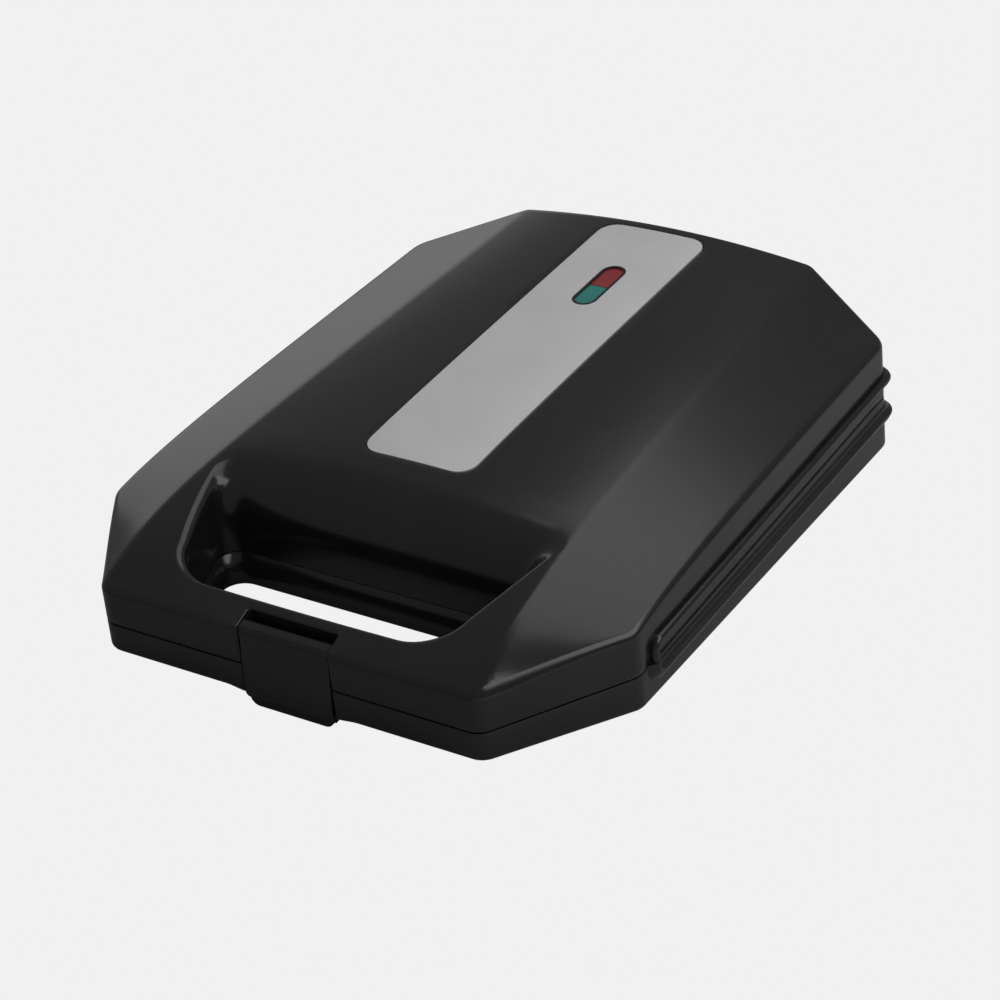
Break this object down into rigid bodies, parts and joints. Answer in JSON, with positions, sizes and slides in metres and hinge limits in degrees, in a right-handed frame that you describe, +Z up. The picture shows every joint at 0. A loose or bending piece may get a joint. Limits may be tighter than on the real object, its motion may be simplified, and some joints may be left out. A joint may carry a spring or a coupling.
{
  "type": "sandwich toaster",
  "caption": "Countertop sandwich toaster with a hinged lid, handle opening, front clip, silver trim strip and two indicator lamps.",
  "frame": {"origin": "centre of the bounding box's plan, at the feet's underside", "axes": "+Z up, front with the handle and latch at -Y, +X to the right seen from the front"},
  "size_m": [0.2864, 0.3432, 0.0879],
  "materials": {
    "cover_plastic": "gloss black moulding",
    "cook_surface": "non-stick coated cast aluminium",
    "element_steel": "oxidised tube",
    "sheet_steel": "bright sheet",
    "fastener_steel": "plated",
    "rubber": "matt",
    "pale_plastic": "matt",
    "lead_sleeve": "silicone sleeve",
    "trim_silver": "satin silver",
    "red_lens": "tinted, translucent",
    "green_lens": "tinted, translucent",
    "lamp_glass": "clear",
    "thermostat_body": "phenolic",
    "fuse_body": "ceramic"
  },
  "bodies": {
    "base": {"lower_cover": "cover_plastic", "lower_cook_plate": "cook_surface", "lower_heating_element": "element_steel", "lower_heat_shield": "sheet_steel", "lower_plate_screws": "fastener_steel", "rubber_feet": "rubber", "hinge_pins": "fastener_steel", "cord_bush": "rubber", "terminal_block": "pale_plastic", "supply_leads": "lead_sleeve"},
    "lid": {"upper_cover": "cover_plastic", "upper_cook_plate": "cook_surface", "upper_heating_element": "element_steel", "upper_heat_shield": "sheet_steel", "upper_plate_screws": "fastener_steel", "trim_plate": "trim_silver", "lamp_bezel": "cover_plastic", "power_lens": "red_lens", "ready_lens": "green_lens", "indicator_lamps": "lamp_glass", "lamp_holder": "pale_plastic", "thermostat": "thermostat_body", "thermostat_bracket": "sheet_steel", "thermal_fuse": "fuse_body", "latch_pin": "fastener_steel"},
    "latch": {"latch": "cover_plastic"}
  },
  "joints": [
    {"name": "lid_hinge", "type": "hinge", "parent": "base", "child": "lid", "pos_m": [0, 0.16555, 0.038], "axis": [-1, 0, 0], "range_deg": [0, 105]},
    {"name": "latch_hinge", "type": "hinge", "parent": "lid", "child": "latch", "pos_m": [0, -0.16565, 0.0386], "axis": [-1, 0, 0], "range_deg": [0, 40]}
  ]
}
